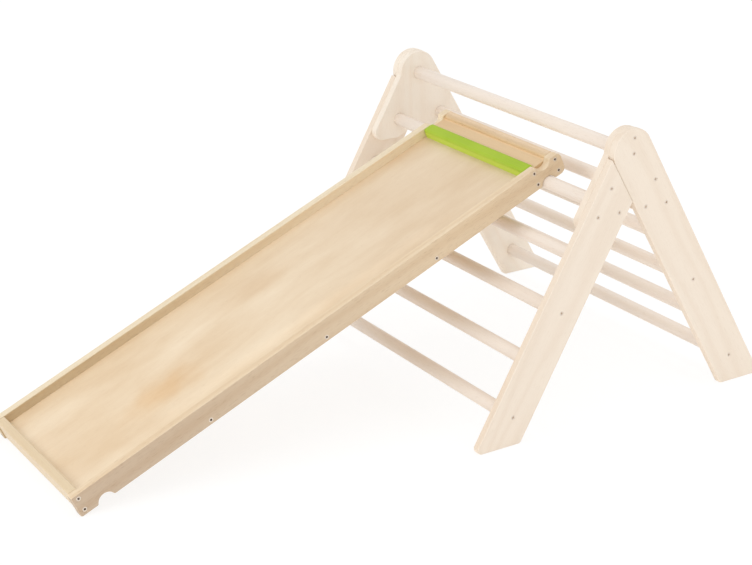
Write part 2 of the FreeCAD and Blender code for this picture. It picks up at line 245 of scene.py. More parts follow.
# %% World
air_level, air_from_above = 0.50, 0.47
air_colour = (1.0, 0.99, 0.975, 1.0)
world = bpy.data.worlds.new("studio_air")
scene.world = world
world.use_nodes = True
tree = world.node_tree
tree.nodes.clear()
rise = split(tree, add(tree, "ShaderNodeTexCoord").outputs["Generated"])[2]
strength = sums(tree, "MULTIPLY_ADD", sums(tree, "MAXIMUM", rise, 0.0), air_from_above, air_level)
soft = add(tree, "ShaderNodeBackground", {"Color": air_colour, "Strength": strength})
white = add(tree, "ShaderNodeBackground", {"Color": WHITE, "Strength": 1.0})
mixed = add(tree, "ShaderNodeMixShader", {0: seen_directly(tree), 1: soft.outputs[0], 2: white.outputs[0]})
add(tree, "ShaderNodeOutputWorld", {"Surface": mixed.outputs[0]})
scene.view_settings.view_transform = "Standard"
print(world.name, "lights from", air_level, "at the sides to", air_level + air_from_above, "overhead")


# %% Lamps
def lamp(name, place, target, size, watts):
    data = bpy.data.lights.new(name, "AREA")
    data.shape, data.size, data.energy = "DISK", size, watts
    holder = bpy.data.objects.new(name, data)
    turn = (Vector(target) - Vector(place)).to_track_quat("-Z", "Y")
    holder.matrix_world = Matrix.LocRotScale(Vector(place), turn, None)
    scene.collection.objects.link(holder)


lamp("overhead_lamp", place=(0.35, 0.55, 5.0), target=(0.2, 0.0, 0.3), size=0.9, watts=15)
lamp("left_lamp", place=(-3.6, -0.4, 1.7), target=(0.0, 0.0, 0.3), size=2.2, watts=31)
lamp("front_lamp", place=(0.9, -2.0, 0.9), target=(0.4, -0.3, 0.3), size=1.2, watts=3.3)

# %% [markdown]
# ## Timber
# Birch and beech are pale and quiet: wide, wandering growth bands, fine fibres along the board, short
# dark flecks, and warm patches, some an arm long and some a hand wide. A picture of a board would show
# one board only, and would stretch on the others. Noise that is squeezed across the grain and drawn out
# along it makes all five, at real sizes, on any board. It is one group, so legs, rungs, rails and floor
# share it and differ only in their numbers.

# %% The timber group
timber, given, made = new_tree(
    "timber", "ShaderNodeTree",
    [("Place", "Vector", None), ("Shift", "Float", 0.0), ("Pale", "Color", WHITE), ("Deep", "Color", WHITE),
     ("Band pitch", "Float", 0.02), ("Wander", "Float", 0.02), ("Figure", "Float", 0.3),
     ("Fibre", "Float", 0.3), ("Fleck", "Float", 0.2), ("Patch", "Float", 0.3), ("Mottle", "Float", 0.0),
     ("Dullness", "Float", 0.5)],
    [("Colour", "Color"), ("Roughness", "Float"), ("Height", "Float")])

# The shift cuts a piece from another place of the timber: it moves the pattern along all three axes.
shift_sideways, shift_upwards = 0.37, 0.61
offset = add(timber, "ShaderNodeCombineXYZ",
             {0: given["Shift"], 1: sums(timber, "MULTIPLY", given["Shift"], shift_sideways),
              2: sums(timber, "MULTIPLY", given["Shift"], shift_upwards)})
timber_place = vectors(timber, "ADD", given["Place"], offset.outputs[0])


def lumps(along, across, detail, roughness=0.5):
    """Noise with this many lumps to the metre along the grain and across it."""
    squeezed = vectors(timber, "MULTIPLY", timber_place, (along, across, across))
    return noise(timber, squeezed, 1.0, detail, roughness)


print("timber group:", len(given), "input sockets")

# %% Five patterns of timber
slant_sideways, slant_upwards = 0.8, 0.6
band_sharpness = 1.7
fleck_start, fleck_full = 0.66, 0.76
noise_middle = 0.5

sway = sums(timber, "SUBTRACT", lumps(along=1.5, across=8.0, detail=2.0), noise_middle)
wander = sums(timber, "MULTIPLY", sway, given["Wander"])
axes = split(timber, timber_place)
across = sums(timber, "MULTIPLY", axes[1], slant_sideways)
across = sums(timber, "MULTIPLY_ADD", axes[2], slant_upwards, across)
turns = sums(timber, "DIVIDE", sums(timber, "ADD", across, wander), given["Band pitch"])
bands = sums(timber, "SINE", sums(timber, "MULTIPLY", turns, math.tau))
late_wood = sums(timber, "POWER", sums(timber, "MULTIPLY_ADD", bands, 0.5, 0.5), band_sharpness)
fibres = lumps(along=11.0, across=560.0, detail=2.0, roughness=0.6)
patches = lumps(along=1.6, across=4.6, detail=1.5)
mottles = lumps(along=5.0, across=13.0, detail=3.0, roughness=0.6)
dashes = ramp(timber, lumps(along=70.0, across=1250.0, detail=0.0), fleck_start, fleck_full)
print("five patterns:", len(timber.nodes), "nodes so far")


# %% Colour, roughness and height of timber
def counted(pattern, pattern_middle, strength):
    """How far a pattern departs from its middle, times the group's input of that name."""
    return sums(timber, "MULTIPLY", sums(timber, "SUBTRACT", pattern, pattern_middle), given[strength])


late_wood_middle, plain_tone = 0.4, 0.42
fleck_tint = (0.55, 0.42, 0.30, 1.0)
tone = counted(late_wood, late_wood_middle, "Figure")
for pattern, strength in ((fibres, "Fibre"), (patches, "Patch"), (mottles, "Mottle")):
    tone = sums(timber, "ADD", tone, counted(pattern, noise_middle, strength))
tone = sums(timber, "ADD", tone, plain_tone, clamp=True)
grain = mix(timber, tone, given["Pale"], given["Deep"])
fleck_share = sums(timber, "MULTIPLY", dashes, given["Fleck"])
flecked = mix(timber, fleck_share, grain, fleck_tint, "MULTIPLY")
timber.links.new(flecked, made.inputs["Colour"])

fleck_dulls, fibre_dulls = 0.12, 0.22
uneven = sums(timber, "MULTIPLY_ADD", dashes, fleck_dulls, given["Dullness"])
fibre_lift = sums(timber, "SUBTRACT", fibres, noise_middle)
uneven = sums(timber, "MULTIPLY_ADD", fibre_lift, fibre_dulls, uneven, clamp=True)
timber.links.new(uneven, made.inputs["Roughness"])

fleck_dips, band_rises = -0.8, 0.3
raised = sums(timber, "MULTIPLY_ADD", dashes, fleck_dips, fibres)
raised = sums(timber, "MULTIPLY_ADD", late_wood, band_rises, raised)
timber.links.new(raised, made.inputs["Height"])
print("timber group:", len(timber.nodes), "nodes")

# %% [markdown]
# ## Eased edges and ply layers
# Every board here has its edges rounded, and hands and feet rub those roundings first, so they are a
# touch paler. An edge could be found from the mesh's own sharpness, but these meshes are loose triangles.
# The surface's facing tells it as well: on a flat side it points along one of the board's own axes, and
# on a rounding it points between two. The same facing shows the narrow edges of the plywood boards, where
# the glued layers come to light.

# %% The rubbed edge group
rubbed, given, made = new_tree(
    "rubbed_edge", "ShaderNodeTree",
    [("Facing", "Vector", None), ("Place", "Vector", None), ("Wear", "Float", 0.5)], [("Mask", "Float")])
flat_side, full_rounding = 0.985, 0.82
rub_scale, rub_detail, rub_start, rub_full = 26.0, 3.0, 0.25, 0.62
sides = split(rubbed, vectors(rubbed, "ABSOLUTE", given["Facing"]))
most = sums(rubbed, "MAXIMUM", sums(rubbed, "MAXIMUM", sides[0], sides[1]), sides[2])
rounding = ramp(rubbed, most, flat_side, full_rounding)
handled = noise(rubbed, given["Place"], rub_scale, rub_detail)
worn = sums(rubbed, "MULTIPLY", rounding, ramp(rubbed, handled, rub_start, rub_full))
rubbed.links.new(sums(rubbed, "MULTIPLY", worn, given["Wear"], clamp=True), made.inputs["Mask"])
print("rubbed edge group:", len(rubbed.nodes), "nodes")

# %% The ply layers group
layered, given, made = new_tree(
    "ply_layers", "ShaderNodeTree",
    [("Facing", "Vector", None), ("Place", "Vector", None), ("Layers per metre", "Float", 720.0)],
    [("Mask", "Float")])
glue_width, glue_tone, cross_tone = 0.10, 0.75, 0.4
broad_side, narrow_edge = 0.7, 0.35
flat = sums(layered, "ABSOLUTE", split(layered, given["Facing"])[1])
depth = sums(layered, "ABSOLUTE", split(layered, given["Place"])[1])
count = sums(layered, "MULTIPLY", depth, given["Layers per metre"])
glue_line = ramp(layered, sums(layered, "PINGPONG", count, 0.5), glue_width, 0.0)
cross_ply = sums(layered, "MODULO", sums(layered, "FLOOR", count), 2.0)
cross_share = sums(layered, "MULTIPLY", cross_ply, cross_tone)
layer_tone = sums(layered, "MULTIPLY_ADD", glue_line, glue_tone, cross_share, clamp=True)
on_edge = ramp(layered, flat, broad_side, narrow_edge)
layered.links.new(sums(layered, "MULTIPLY", layer_tone, on_edge), made.inputs["Mask"])
print("ply layers group:", len(layered.nodes), "nodes")

# %% [markdown]
# ## Wooden finishes
# One function makes every wooden material. It turns the object's own coordinates so that X runs along the
# board, hands them to the groups, and feeds the colour, roughness and height to one shader. Single boards
# also get options of their own: layers on a plywood edge, faces that are made darker or lighter all over
# or towards one end as painted light and shade, ragged spots at a given place, some of them real stains,
# some painted light and some painted shade, and the darker end grain at the slide's foot, darkened further
# as painted shade. Painting one picture per board would show them too, but an option is a line of numbers
# that can be changed.


# %% Functions for the marks on a board
def board_coordinates(tree, turn):
    """A point's place and its surface's facing, turned so that X runs along the board."""
    known = add(tree, "ShaderNodeTexCoord").outputs
    place = add(tree, "ShaderNodeMapping", {"Vector": known["Object"], "Rotation": turn})
    facing = add(tree, "ShaderNodeMapping", {"Vector": known["Normal"], "Rotation": turn},
                 vector_type="VECTOR")
    return place.outputs[0], facing.outputs[0]


def painted_face_light(tree, shade, place, facing, face_light_and_shade, glancing=0.5, square_on=0.9):
    """Paints light and shade on the faces that point along an axis of the board, more and more from start to
    end along it.
    """
    along, sides = split(tree, place)[0], split(tree, facing)
    for axis, start, end, tint in face_light_and_shade:
        on_face = ramp(tree, sums(tree, "ABSOLUTE", sides[axis]), glancing, square_on)
        share = sums(tree, "MULTIPLY", ramp(tree, along, start, end), on_face)
        shade = mix(tree, share, shade, tint, "MULTIPLY")
    return shade


def spotted_with_stains_and_light(tree, shade, place, stains_and_light_spots, any_depth=1e6, rag_scale=22.0, rag_detail=3.0, rim=1.6, core=0.55):
    """Tints ragged spots, some real stains, some painted light and some painted shade, each with its place
    and its size along and across the board.
    """
    ragged = noise(tree, place, rag_scale, rag_detail)
    for centre, size, tint in stains_and_light_spots:
        away = vectors(tree, "SUBTRACT", place, centre + (0,))
        away = vectors(tree, "DIVIDE", away, size + (any_depth,))
        spot = ramp(tree, sums(tree, "ADD", length_of(tree, away), ragged), rim, core)
        shade = mix(tree, spot, shade, tint, "MULTIPLY")
    return shade


def foot_grain_and_shade(tree, shade, place, facing, tint, turned=(-0.6, -0.95), low_down=(-0.64, -0.68)):
    """Tints the end grain at the slide's foot, darker than its own tone as painted shade: it faces down the
    slide and lies at its lower end.
    """
    down_slide = ramp(tree, split(tree, facing)[0], *turned)
    share = sums(tree, "MULTIPLY", down_slide, ramp(tree, split(tree, place)[0], *low_down))
    return mix(tree, share, shade, tint, "MULTIPLY")


print("groups ready:", [g.name for g in bpy.data.node_groups])

# %% Function for a wooden finish
grain_depth, grain_bump = 0.00008, 0.5
lacquer_roughness = 0.3


def wooden(name, turn, pale, deep, layers=None, wear=0.5, shift_attribute=None, coat=0.0, face_light_and_shade=(),
           stains_and_light_spots=(), end_grain=None, **grain):
    """A wood of two colours. The marks are given as the functions above take them, and grain holds the
    other numbers of the timber group."""
    material, tree = blank_material(name)
    place, facing = board_coordinates(tree, turn)
    numbers = {socket.replace("_", " ").capitalize(): value for socket, value in grain.items()}
    if shift_attribute:
        own = add(tree, "ShaderNodeAttribute", attribute_name=shift_attribute)
        numbers["Shift"] = own.outputs["Fac"]
    wood = add(tree, "ShaderNodeGroup", {"Place": place, "Pale": pale, "Deep": deep, **numbers},
               node_tree=timber).outputs
    shade = wood["Colour"]
    on_board = {"Facing": facing, "Place": place}
    if layers:
        edge = add(tree, "ShaderNodeGroup", on_board, node_tree=layered)
        shade = mix(tree, edge.outputs["Mask"], shade, layers)
    if wear:
        rub = add(tree, "ShaderNodeGroup", {**on_board, "Wear": wear}, node_tree=rubbed)
        shade = mix(tree, rub.outputs["Mask"], shade, pale)
    if face_light_and_shade:
        shade = painted_face_light(tree, shade, place, facing, face_light_and_shade)
    if stains_and_light_spots:
        shade = spotted_with_stains_and_light(tree, shade, place, stains_and_light_spots)
    if end_grain:
        shade = foot_grain_and_shade(tree, shade, place, facing, end_grain)
    relief = add(tree, "ShaderNodeBump",
                 {"Height": wood["Height"], "Strength": grain_bump, "Distance": grain_depth})
    shader = add(tree, "ShaderNodeBsdfPrincipled",
                 {"Base Color": shade, "Roughness": wood["Roughness"], "Normal": relief.outputs[0],
                  "Coat Weight": coat, "Coat Roughness": lacquer_roughness})
    add(tree, "ShaderNodeOutputMaterial", {"Surface": shader.outputs[0]})
    print(name, len(tree.nodes), "nodes")
    return material


print("a wooden finish has a grain", round(grain_depth * 1000, 2), "mm deep")

# %% [markdown]
# ## The ladder's wood
# The ladder is much paler than the slide, so it gets washed-out birch, with beech for its rungs. One
# birch for all its boards would do under even light. But the far head and the far rear leg stand in shade
# here and not in the photograph, so theirs is lighter. A turn lays the grain along each leg, and upright
# on the gussets.

# %% Ladder wood
quarter = math.pi / 2
front_turn, rear_turn = (0, quarter - leg_lean, 0), (0, leg_lean - quarter, 0)
gusset_turn, rung_turn = (0, quarter, 0), (0, 0, -quarter)
birch = (colour(248, 235, 219), colour(239, 222, 203))
far_birch = (colour(252, 243, 230), colour(246, 232, 215))
ply_numbers = dict(layers=colour(232, 211, 188), band_pitch=0.024, wander=0.09, figure=0.35, fibre=0.4,
                   fleck=0.08, patch=0.6, dullness=0.52)
front_leg_ply = wooden("front_leg_ply", front_turn, *birch, **ply_numbers)
rear_leg_ply = wooden("rear_leg_ply", rear_turn, *birch, **ply_numbers)
gusset_ply = wooden("gusset_ply", gusset_turn, *birch, **ply_numbers)
far_rear_leg_ply = wooden("far_rear_leg_ply", rear_turn, *far_birch, **ply_numbers)
far_gusset_ply = wooden("far_gusset_ply", gusset_turn, *far_birch, **ply_numbers)
rung_beech = wooden("rung_beech", rung_turn, colour(249, 239, 229), colour(241, 227, 213), wear=0.0,
                    shift_attribute="rung_shift", band_pitch=0.009, wander=0.012, figure=0.4, fibre=0.4,
                    fleck=0.16, patch=0.4, dullness=0.48)

# %% [markdown]
# ## The slide's wood
# The slide is warm beech and ply under a clear lacquer, and no two of its boards have the same tone. The
# floor has a warm blotch and paler streaks. Painted light and shade are laid on as well: the rails' sides
# grow darker down the slide as painted shade, the far rail is paler as painted light on its shaded inner
# side, the top bar is lighter above and on its faces down and up the slide as painted light and deeper on
# its nose as painted shade, the head panel has a band of painted light by the top bar, and the floor has
# painted shade towards the head and painted light along its foot. One wood for all of it would be simpler,
# but would look like a toy's plastic. So each board has its own colours, and its marks are given in metres
# along and across it.

# %% Rails, low bar and battens
# On a board, Y points out of its sides and Z out of its top. The pair below them tints a whole face.
side_face, top_face = 1, 2
every_length = (1.0, 0.9)
rail_turn, bar_turn = (0, slide_tilt, 0), (0, slide_tilt, -quarter)
# The end grain at the foot is darker than end grain alone, as painted shade.
rail_numbers = dict(wear=0.7, coat=0.15, end_grain=(0.62, 0.57, 0.54, 1.0), band_pitch=0.02, wander=0.05,
                    figure=0.22, fibre=0.35, fleck=0.3, patch=0.5, dullness=0.42)
# Painted shade: the near rail's sides grow darker more and more down the slide.
near_rail_beech = wooden(
    "near_rail_beech", rail_turn, colour(241, 222, 192), colour(215, 182, 140),
    face_light_and_shade=[(side_face, 0.5, -0.75, (0.76, 0.73, 0.75, 1.0))], **rail_numbers)
# Painted light: the far rail's colours are paler to lift the shade on its inner side, painted shade darkens
# that side down the slide, and its top is darkened back.
far_rail_beech = wooden(
    "far_rail_beech", rail_turn, colour(252, 238, 212), colour(238, 210, 170),
    face_light_and_shade=[(side_face, 0.45, -0.8, (0.67, 0.62, 0.53, 1.0)),
                (top_face, *every_length, (0.90, 0.91, 0.90, 1.0))], **rail_numbers)
bar_numbers = dict(wear=0.0, coat=0.15, band_pitch=0.02, wander=0.04, figure=0.25, fibre=0.4, fleck=0.3,
                   patch=0.5, dullness=0.42)
batten_beech = wooden("batten_beech", bar_turn, colour(233, 213, 183), colour(208, 175, 133), **bar_numbers)
quiet_numbers = dict(bar_numbers, band_pitch=0.05, wander=0.1, figure=0.1, fibre=0.3, fleck=0.15)
low_bar_beech = wooden("low_bar_beech", bar_turn, colour(232, 215, 184), colour(213, 185, 144),
                       **quiet_numbers)

# %% Top bar and head panel
# The nose band of painted shade and the crease band of painted light lie this far down the slide from the top
# bar's middle. On a bar, Y points down the slide.
nose_down, nose_width = 0.006, 0.0085
crease_down, crease_width = 0.012, 0.006
all_along = 3.0
bar_middle = middle("top_bar")
up_slide = bar_middle.x * math.cos(slide_tilt) + bar_middle.z * math.sin(slide_tilt)
# Painted light makes the top bar's top and its faces down and up the slide lighter, and a band of painted
# shade darkens its nose.
top_bar_beech = wooden(
    "top_bar_beech", bar_turn, colour(231, 209, 177), colour(206, 172, 129),
    face_light_and_shade=[(side_face, *every_length, (1.24, 1.24, 1.24, 1.0)),
                (top_face, *every_length, (1.10, 1.11, 1.16, 1.0))],
    stains_and_light_spots=[((0.0, nose_down - up_slide), (all_along, nose_width), (0.90, 0.87, 0.80, 1.0))], **bar_numbers)
# The band along the crease by the top bar is painted light that lifts the shade there.
head_ply = wooden(
    "head_ply", bar_turn, colour(232, 204, 162), colour(214, 177, 130), wear=0.0, coat=0.2,
    stains_and_light_spots=[((0.0, crease_down - up_slide), (all_along, crease_width), (1.14, 1.16, 1.20, 1.0))],
    band_pitch=0.05, wander=0.2, figure=0.2, fibre=0.3, fleck=0.15, patch=0.6, dullness=0.40)

# %% The slide's floor
warm_blotch = ((-0.415, -0.050), (0.12, 0.065), (0.95, 0.84, 0.69, 1.0))
brown_patch = ((-0.10, 0.075), (0.16, 0.045), (0.95, 0.91, 0.86, 1.0))
pale_streak = ((-0.05, -0.140), (0.50, 0.030), (1.07, 1.08, 1.09, 1.0))
pale_patch = ((-0.28, 0.060), (0.16, 0.060), (1.03, 1.05, 1.08, 1.0))
# The pale strip along the foot, by the low bar, is painted light that lifts the shade there.
painted_light_at_foot = ((-0.69, 0.000), (0.03, all_along), (1.09, 1.13, 1.16, 1.0))
# Painted shade darkens the floor's top more and more towards the head.
floor_ply = wooden(
    "floor_ply", rail_turn, colour(245, 227, 199), colour(216, 182, 137), wear=0.0, coat=0.2,
    face_light_and_shade=[(top_face, -0.5, 0.4, (0.92, 0.90, 0.89, 1.0))],
    stains_and_light_spots=[warm_blotch, brown_patch, pale_streak, pale_patch, painted_light_at_foot], band_pitch=0.09, wander=0.45,
    figure=0.07, fibre=0.25, fleck=0.15, patch=0.9, mottle=0.9, dullness=0.40)

# %% [markdown]
# ## Green paint
# The bar at the slide's head is painted lime green, smooth but brushed along its length, and a little
# lighter where the paint is thin over its rounded edges. A strip along the foot of its face down the slide
# is lighter too, as painted light where light from the slide's floor falls. A plain green would look like
# plastic. The timber group's height still shows through the paint as a faint relief, drawn-out noise gives
# the brush marks, and the height over the slide's floor, reckoned from the seat mount, finds the strip.

# %% Colour of the painted bar
lime, lime_cloud, lime_stroke = colour(158, 189, 10), colour(166, 195, 24), colour(180, 206, 52)
# Of the two colours below, the first is painted light for the foot of the face down the slide, the second the
# thin paint on the rounded edges.
lime_lit_strip, lime_thin = colour(200, 225, 80), colour(200, 222, 104)
stroke_scale, stroke_detail, stroke_share = (9.0, 420.0, 420.0), 3.0, 0.25
stroke_start, stroke_full = 0.45, 0.75
cloud_scale, cloud_detail, cloud_start, cloud_full = 14.0, 2.0, 0.3, 0.7
lit_strip_start, lit_strip_full = 0.020, 0.011
front_start, front_full = 0.25, 0.8
edge_wear = 0.12

lime_paint, tree = blank_material("lime_paint")
place, facing = board_coordinates(tree, bar_turn)
strokes = noise(tree, vectors(tree, "MULTIPLY", place, stroke_scale), 1.0, stroke_detail)
clouds = noise(tree, place, cloud_scale, cloud_detail)
paint = mix(tree, ramp(tree, clouds, cloud_start, cloud_full), lime, lime_cloud)
brushed = sums(tree, "MULTIPLY", ramp(tree, strokes, stroke_start, stroke_full), stroke_share)
paint = mix(tree, brushed, paint, lime_stroke)

# Painted light: the foot of the face down the slide is made lighter, where light thrown up from the slide's
# floor falls.
seat_height = Vector(seat["axis"]).dot(Vector(seat["pos_m"]))
height = sums(tree, "SUBTRACT", split(tree, place)[2], seat_height)
down_slide = ramp(tree, split(tree, facing)[1], front_start, front_full)
lit_strip = sums(tree, "MULTIPLY", down_slide, ramp(tree, height, lit_strip_start, lit_strip_full))
paint = mix(tree, lit_strip, paint, lime_lit_strip)
thin = add(tree, "ShaderNodeGroup", {"Facing": facing, "Place": place, "Wear": edge_wear}, node_tree=rubbed)
paint = mix(tree, thin.outputs["Mask"], paint, lime_thin)
print("paint colour:", len(tree.nodes), "nodes")

# %% Relief and shine of the paint
wood_shows, paint_bump, paint_depth = 0.4, 0.4, 0.0001
sheen_least, sheen_change = 0.42, 0.2
under = add(tree, "ShaderNodeGroup", {"Place": place}, node_tree=timber)
relief = sums(tree, "MULTIPLY_ADD", under.outputs["Height"], wood_shows, strokes)
bump = add(tree, "ShaderNodeBump", {"Height": relief, "Strength": paint_bump, "Distance": paint_depth})
sheen = sums(tree, "MULTIPLY_ADD", strokes, sheen_change, sheen_least)
shader = add(tree, "ShaderNodeBsdfPrincipled",
             {"Base Color": paint, "Roughness": sheen, "Normal": bump.outputs[0]})
add(tree, "ShaderNodeOutputMaterial", {"Surface": shader.outputs[0]})
print(lime_paint.name, len(tree.nodes), "nodes")

# %% [markdown]
# ## Screw steel
# The screws are zinc-plated steel with fine turning rings on the head and a cross recess. The rings have
# to be centred on each head, and object coordinates only know the whole object. So the Geometry Nodes
# tree that makes the screws stores each point's place within its own screw, and the material reads that
# attribute. A function makes two steels: in the slide the recess is a dark dot of painted shade, and in
# the pale ladder it is almost as light as the wood.

# %% Function for a screw's steel
rings_per_metre, streaks_per_metre, ring_detail = 5200.0, 900.0, 2.0
ring_light, ring_start, ring_full = 0.35, 0.3, 0.7
recess_start, recess_full = -0.0002, -0.0008
ring_bump, ring_depth = 0.3, 0.00004
face_metal, steel_specular = 0.3, 0.3
steel_roughness, ring_roughness = 0.34, 0.25


def steel(name, face_colour, recess_colour):
    material, tree = blank_material(name)
    own = split(tree, add(tree, "ShaderNodeAttribute", attribute_name="screw_place").outputs["Vector"])
    radius = length_of(tree, add(tree, "ShaderNodeCombineXYZ", {0: own[0], 1: own[1]}).outputs[0])
    ring_place = add(tree, "ShaderNodeCombineXYZ",
                     {0: sums(tree, "MULTIPLY", radius, rings_per_metre),
                      1: sums(tree, "MULTIPLY", own[2], streaks_per_metre)}).outputs[0]
    rings = noise(tree, ring_place, 1.0, ring_detail)
    light_ring = mix(tree, ring_light, face_colour, WHITE)
    zinc = mix(tree, ramp(tree, rings, ring_start, ring_full), face_colour, light_ring)
    # The recess gets its own colour; in the slide's steel that colour is painted shade.
    deep = ramp(tree, own[2], recess_start, recess_full)
    zinc = mix(tree, deep, zinc, recess_colour)
    bump = add(tree, "ShaderNodeBump", {"Height": rings, "Strength": ring_bump, "Distance": ring_depth})
    shader = add(tree, "ShaderNodeBsdfPrincipled",
                 {"Base Color": zinc, "Normal": bump.outputs[0], "Specular IOR Level": steel_specular,
                  "Metallic": sums(tree, "MULTIPLY_ADD", deep, -face_metal, face_metal),
                  "Roughness": sums(tree, "MULTIPLY_ADD", rings, ring_roughness, steel_roughness)})
    add(tree, "ShaderNodeOutputMaterial", {"Surface": shader.outputs[0]})
    return material


ladder_steel = steel("ladder_steel", colour(226, 211, 194), colour(224, 206, 186))
# The dark colour in the slide's screw recesses is painted shade.
slide_steel = steel("slide_steel", colour(228, 212, 192), colour(104, 80, 60))
print("steels:", ladder_steel.name, slide_steel.name)

# %% [markdown]
# ## Points become pieces
# A Geometry Nodes modifier needs something to work on. Here that is a mesh with no faces, only points,
# one for each rung or screw, each carrying the numbers that differ between them. The modifier's inputs
# are set by the sockets' identifiers, the evaluated result is copied into a plain mesh, and the points
# and the modifier are thrown away.


# %% Function that runs a tree on points
def from_points(name, tree, points, attributes, values):
    """A plain object that the tree makes on the points; attributes maps a name to its kind and numbers."""
    mesh = bpy.data.meshes.new(name + "_points")
    mesh.from_pydata(points, [], [])
    for label, (kind, numbers) in attributes.items():
        field = "value"
        if kind == "FLOAT_VECTOR":
            field, numbers = "vector", [part for vector in numbers for part in vector]
        mesh.attributes.new(label, kind, "POINT").data.foreach_set(field, numbers)
    holder = bpy.data.objects.new(name + "_points", mesh)
    scene.collection.objects.link(holder)
    modifier = holder.modifiers.new(name, "NODES")
    modifier.node_group = tree
    for socket in tree.interface.items_tree:
        if socket.in_out == "INPUT" and socket.name in values:
            modifier[socket.identifier] = values[socket.name]
    evaluated = holder.evaluated_get(bpy.context.evaluated_depsgraph_get())
    finished = bpy.data.meshes.new_from_object(evaluated)
    holder.modifiers.remove(modifier)
    bpy.data.objects.remove(holder)
    piece = bpy.data.objects.new(name, finished)
    scene.collection.objects.link(piece)
    print(name, "has", len(points), "copies and", len(finished.polygons), "faces")
    return piece


print("a tree's result becomes a plain mesh")

# %% [markdown]
# ## Rungs
# Eleven round rods join the two sides: five to each pair of legs and one at the head. They differ only in
# place, in length, because the uppermost ones end in the gussets, and in their piece of wood. The packed
# rods could stay, but a tree that sets one rod on eleven points gives them eased ends, an even surface
# and a grain of their own.

# %% One rod
rods, given, made = new_tree(
    "rung_rods", "GeometryNodeTree",
    [("Points", "Geometry", None), ("Diameter", "Float", 0.03), ("Length", "Float", 0.8),
     ("End ease", "Float", 0.0015), ("Sides", "Int", 64), ("Seed", "Int", 5)], [("Rungs", "Geometry")])
rods.is_modifier = True
radius = sums(rods, "DIVIDE", given["Diameter"], 2.0)
straight = sums(rods, "MULTIPLY_ADD", given["End ease"], -2.0, given["Length"])
rod = add(rods, "GeometryNodeMeshCylinder",
          {"Vertices": given["Sides"], "Radius": radius, "Depth": straight}).outputs
ends = add(rods, "FunctionNodeBooleanMath", {0: rod["Top"], 1: rod["Bottom"]}, operation="OR").outputs[0]
pulled = add(rods, "GeometryNodeExtrudeMesh",
             {"Mesh": rod["Mesh"], "Selection": ends, "Offset Scale": given["End ease"]}).outputs
share = sums(rods, "DIVIDE", sums(rods, "SUBTRACT", radius, given["End ease"]), radius)
eased = add(rods, "GeometryNodeScaleElements",
            {"Geometry": pulled["Mesh"], "Selection": pulled["Top"], "Scale": share}).outputs[0]
flat = add(rods, "GeometryNodeSetShadeSmooth", {0: eased, "Shade Smooth": False}).outputs[0]
smooth = add(rods, "GeometryNodeSetShadeSmooth",
             {0: flat, "Selection": rod["Side"], "Shade Smooth": True}).outputs[0]
print("one rod:", len(rods.nodes), "nodes")

# %% A rod on each point
longest_shift = 40.0
length = add(rods, "GeometryNodeInputNamedAttribute", {"Name": "rung_length"}, data_type="FLOAT").outputs[0]
stretch = add(rods, "ShaderNodeCombineXYZ",
              {0: 1.0, 1: 1.0, 2: sums(rods, "DIVIDE", length, given["Length"])}).outputs[0]
# Sockets 2 and 3 of a Random Value node are the least and the most of a plain number, and output 1 is it.
luck = add(rods, "FunctionNodeRandomValue", {2: 0.0, 3: longest_shift, "Seed": given["Seed"]},
           data_type="FLOAT").outputs[1]
marked = add(rods, "GeometryNodeStoreNamedAttribute",
             {"Geometry": given["Points"], "Name": "rung_shift", "Value": luck},
             data_type="FLOAT", domain="POINT").outputs[0]
across = add(rods, "FunctionNodeEulerToRotation", {0: (quarter, 0, 0)}).outputs[0]
copies = add(rods, "GeometryNodeInstanceOnPoints",
             {"Points": marked, "Instance": smooth, "Rotation": across, "Scale": stretch}).outputs[0]
whole = add(rods, "GeometryNodeRealizeInstances", {0: copies}).outputs[0]
dressed = add(rods, "GeometryNodeSetMaterial", {"Geometry": whole, "Material": rung_beech}).outputs[0]
rods.links.new(dressed, made.inputs["Rungs"])
print("rods on points:", len(rods.nodes), "nodes")

# %% Set the rungs
rung_nodes = sorted(n for n in nodes if "rung" in n and "screw" not in n)
boxes = [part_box(n) for n in rung_nodes]
lengths = [high.y - low.y for low, high in boxes]
thick = max(high.z - low.z for low, high in boxes)
rungs = from_points("rungs", rods, [tuple((low + high) / 2) for low, high in boxes],
                    {"rung_length": ("FLOAT", lengths)}, {"Diameter": thick, "Length": max(lengths)})
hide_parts(*rung_nodes)
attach(rungs, "ladder")
print("rungs are", round(thick * 1000, 2), "mm thick and up to", round(max(lengths) * 1000, 1), "mm long")

# %% [markdown]
# ## Screws
# Countersunk cross-head screws hold everything: through the legs into the gussets and the rungs' ends,
# and through the rails into the bars and battens. Each could be modelled by hand, but there are over
# forty, so a tree makes one from a cone, a core, a spiral thread and a cut cross, and sets it on every
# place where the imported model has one. No one drives screws to the same turn, so a fixed seed gives each
# its own.

# %% A screw's head
screws, given, made = new_tree(
    "countersunk_screws", "GeometryNodeTree",
    [("Points", "Geometry", None), ("Length", "Float", 0.05), ("Head diameter", "Float", 0.01),
     ("Head depth", "Float", 0.0032), ("Thread diameter", "Float", 0.0045), ("Thread pitch", "Float", 0.0018),
     ("Tip", "Float", 0.004), ("Cross length", "Float", 0.0054), ("Cross width", "Float", 0.0025),
     ("Cross depth", "Float", 0.0018), ("Steel", "Material", None), ("Seed", "Int", 11)],
    [("Screws", "Geometry")])
screws.is_modifier = True
head_sides, core_share = 40, 0.72


def moved(geometry, height):
    lift = add(screws, "ShaderNodeCombineXYZ", {2: height}).outputs[0]
    return add(screws, "GeometryNodeTransform", {"Geometry": geometry, "Translation": lift}).outputs[0]


def minus(value):
    return sums(screws, "MULTIPLY", value, -1.0)


